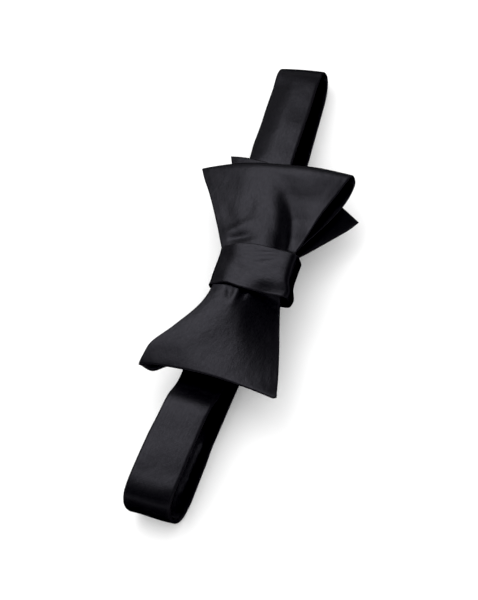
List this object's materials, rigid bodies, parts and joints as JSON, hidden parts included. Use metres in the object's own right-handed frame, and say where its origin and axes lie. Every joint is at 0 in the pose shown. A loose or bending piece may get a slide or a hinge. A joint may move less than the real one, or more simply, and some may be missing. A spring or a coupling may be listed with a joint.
{
  "type": "bow tie",
  "caption": "Black satin butterfly bow tie with a hand-tied knot, on an adjustable neckband that hooks shut behind and lies pressed into a long flat loop.",
  "frame": {"origin": "on the surface the tie lies on, under the middle of the knot", "axes": "+Z out of the front of the bow, +X along the bow towards the folded wing of the front blade, +Y across it"},
  "size_m": [0.2396, 0.07, 0.0303],
  "materials": {
    "bow_satin": "silk satin, soft sheen",
    "knot_satin": "silk satin, soft sheen, gathered",
    "band_satin": "silk satin, soft sheen",
    "interlining": "matt woven interlining",
    "sewing_thread": "twisted polyester thread",
    "nickel": "nickel-plated steel"
  },
  "bodies": {
    "back_strap": {"eye_band_back_satin": "band_satin", "eye_band_back_interlining": "interlining", "adjuster_tail": "band_satin"},
    "bow": {"front_blade_outer_panel": "bow_satin", "front_blade_interlining": "interlining", "front_blade_inner_panel": "bow_satin", "back_blade_outer_panel": "bow_satin", "back_blade_interlining": "interlining", "back_blade_inner_panel": "bow_satin", "knot_wrap_satin": "knot_satin", "knot_wrap_interlining": "interlining", "knot_closing_stitches": "sewing_thread", "bow_tack_stitches": "sewing_thread", "hook_band_satin": "band_satin", "hook_band_interlining": "interlining", "hook_end_stitches": "sewing_thread", "eye_band_front_satin": "band_satin", "eye_band_front_interlining": "interlining"},
    "hook": {"hook": "nickel"},
    "eye": {"eye": "nickel"},
    "slide_adjuster": {"slide_adjuster": "nickel", "tail_end_loop": "band_satin", "tail_end_stitches": "sewing_thread"}
  },
  "joints": [
    {"name": "loop_open", "type": "hinge", "parent": "back_strap", "child": "bow", "pos_m": [-0.11904, 0.01042, 0.01], "axis": [-0.0872, -0.9962, 0], "range_deg": [0, 100]},
    {"name": "hook_pivot", "type": "hinge", "parent": "bow", "child": "hook", "pos_m": [0.01295, 0.00113, 0.00138], "axis": [-0.0872, 0.9962, 0], "range_deg": [0, 35]},
    {"name": "eye_pivot", "type": "hinge", "parent": "back_strap", "child": "eye", "pos_m": [-0.01295, 0.00113, 0.00138], "axis": [-0.0872, -0.9962, 0], "range_deg": [0, 60]},
    {"name": "slide_adjust", "type": "slide", "parent": "back_strap", "child": "slide_adjuster", "axis": [-0.9962, 0.0872, 0], "range_m": [0, 0.03]}
  ],
  "couplings": [
    {"joint": "eye_pivot", "follows": "loop_open", "ratio": 0.6}
  ]
}
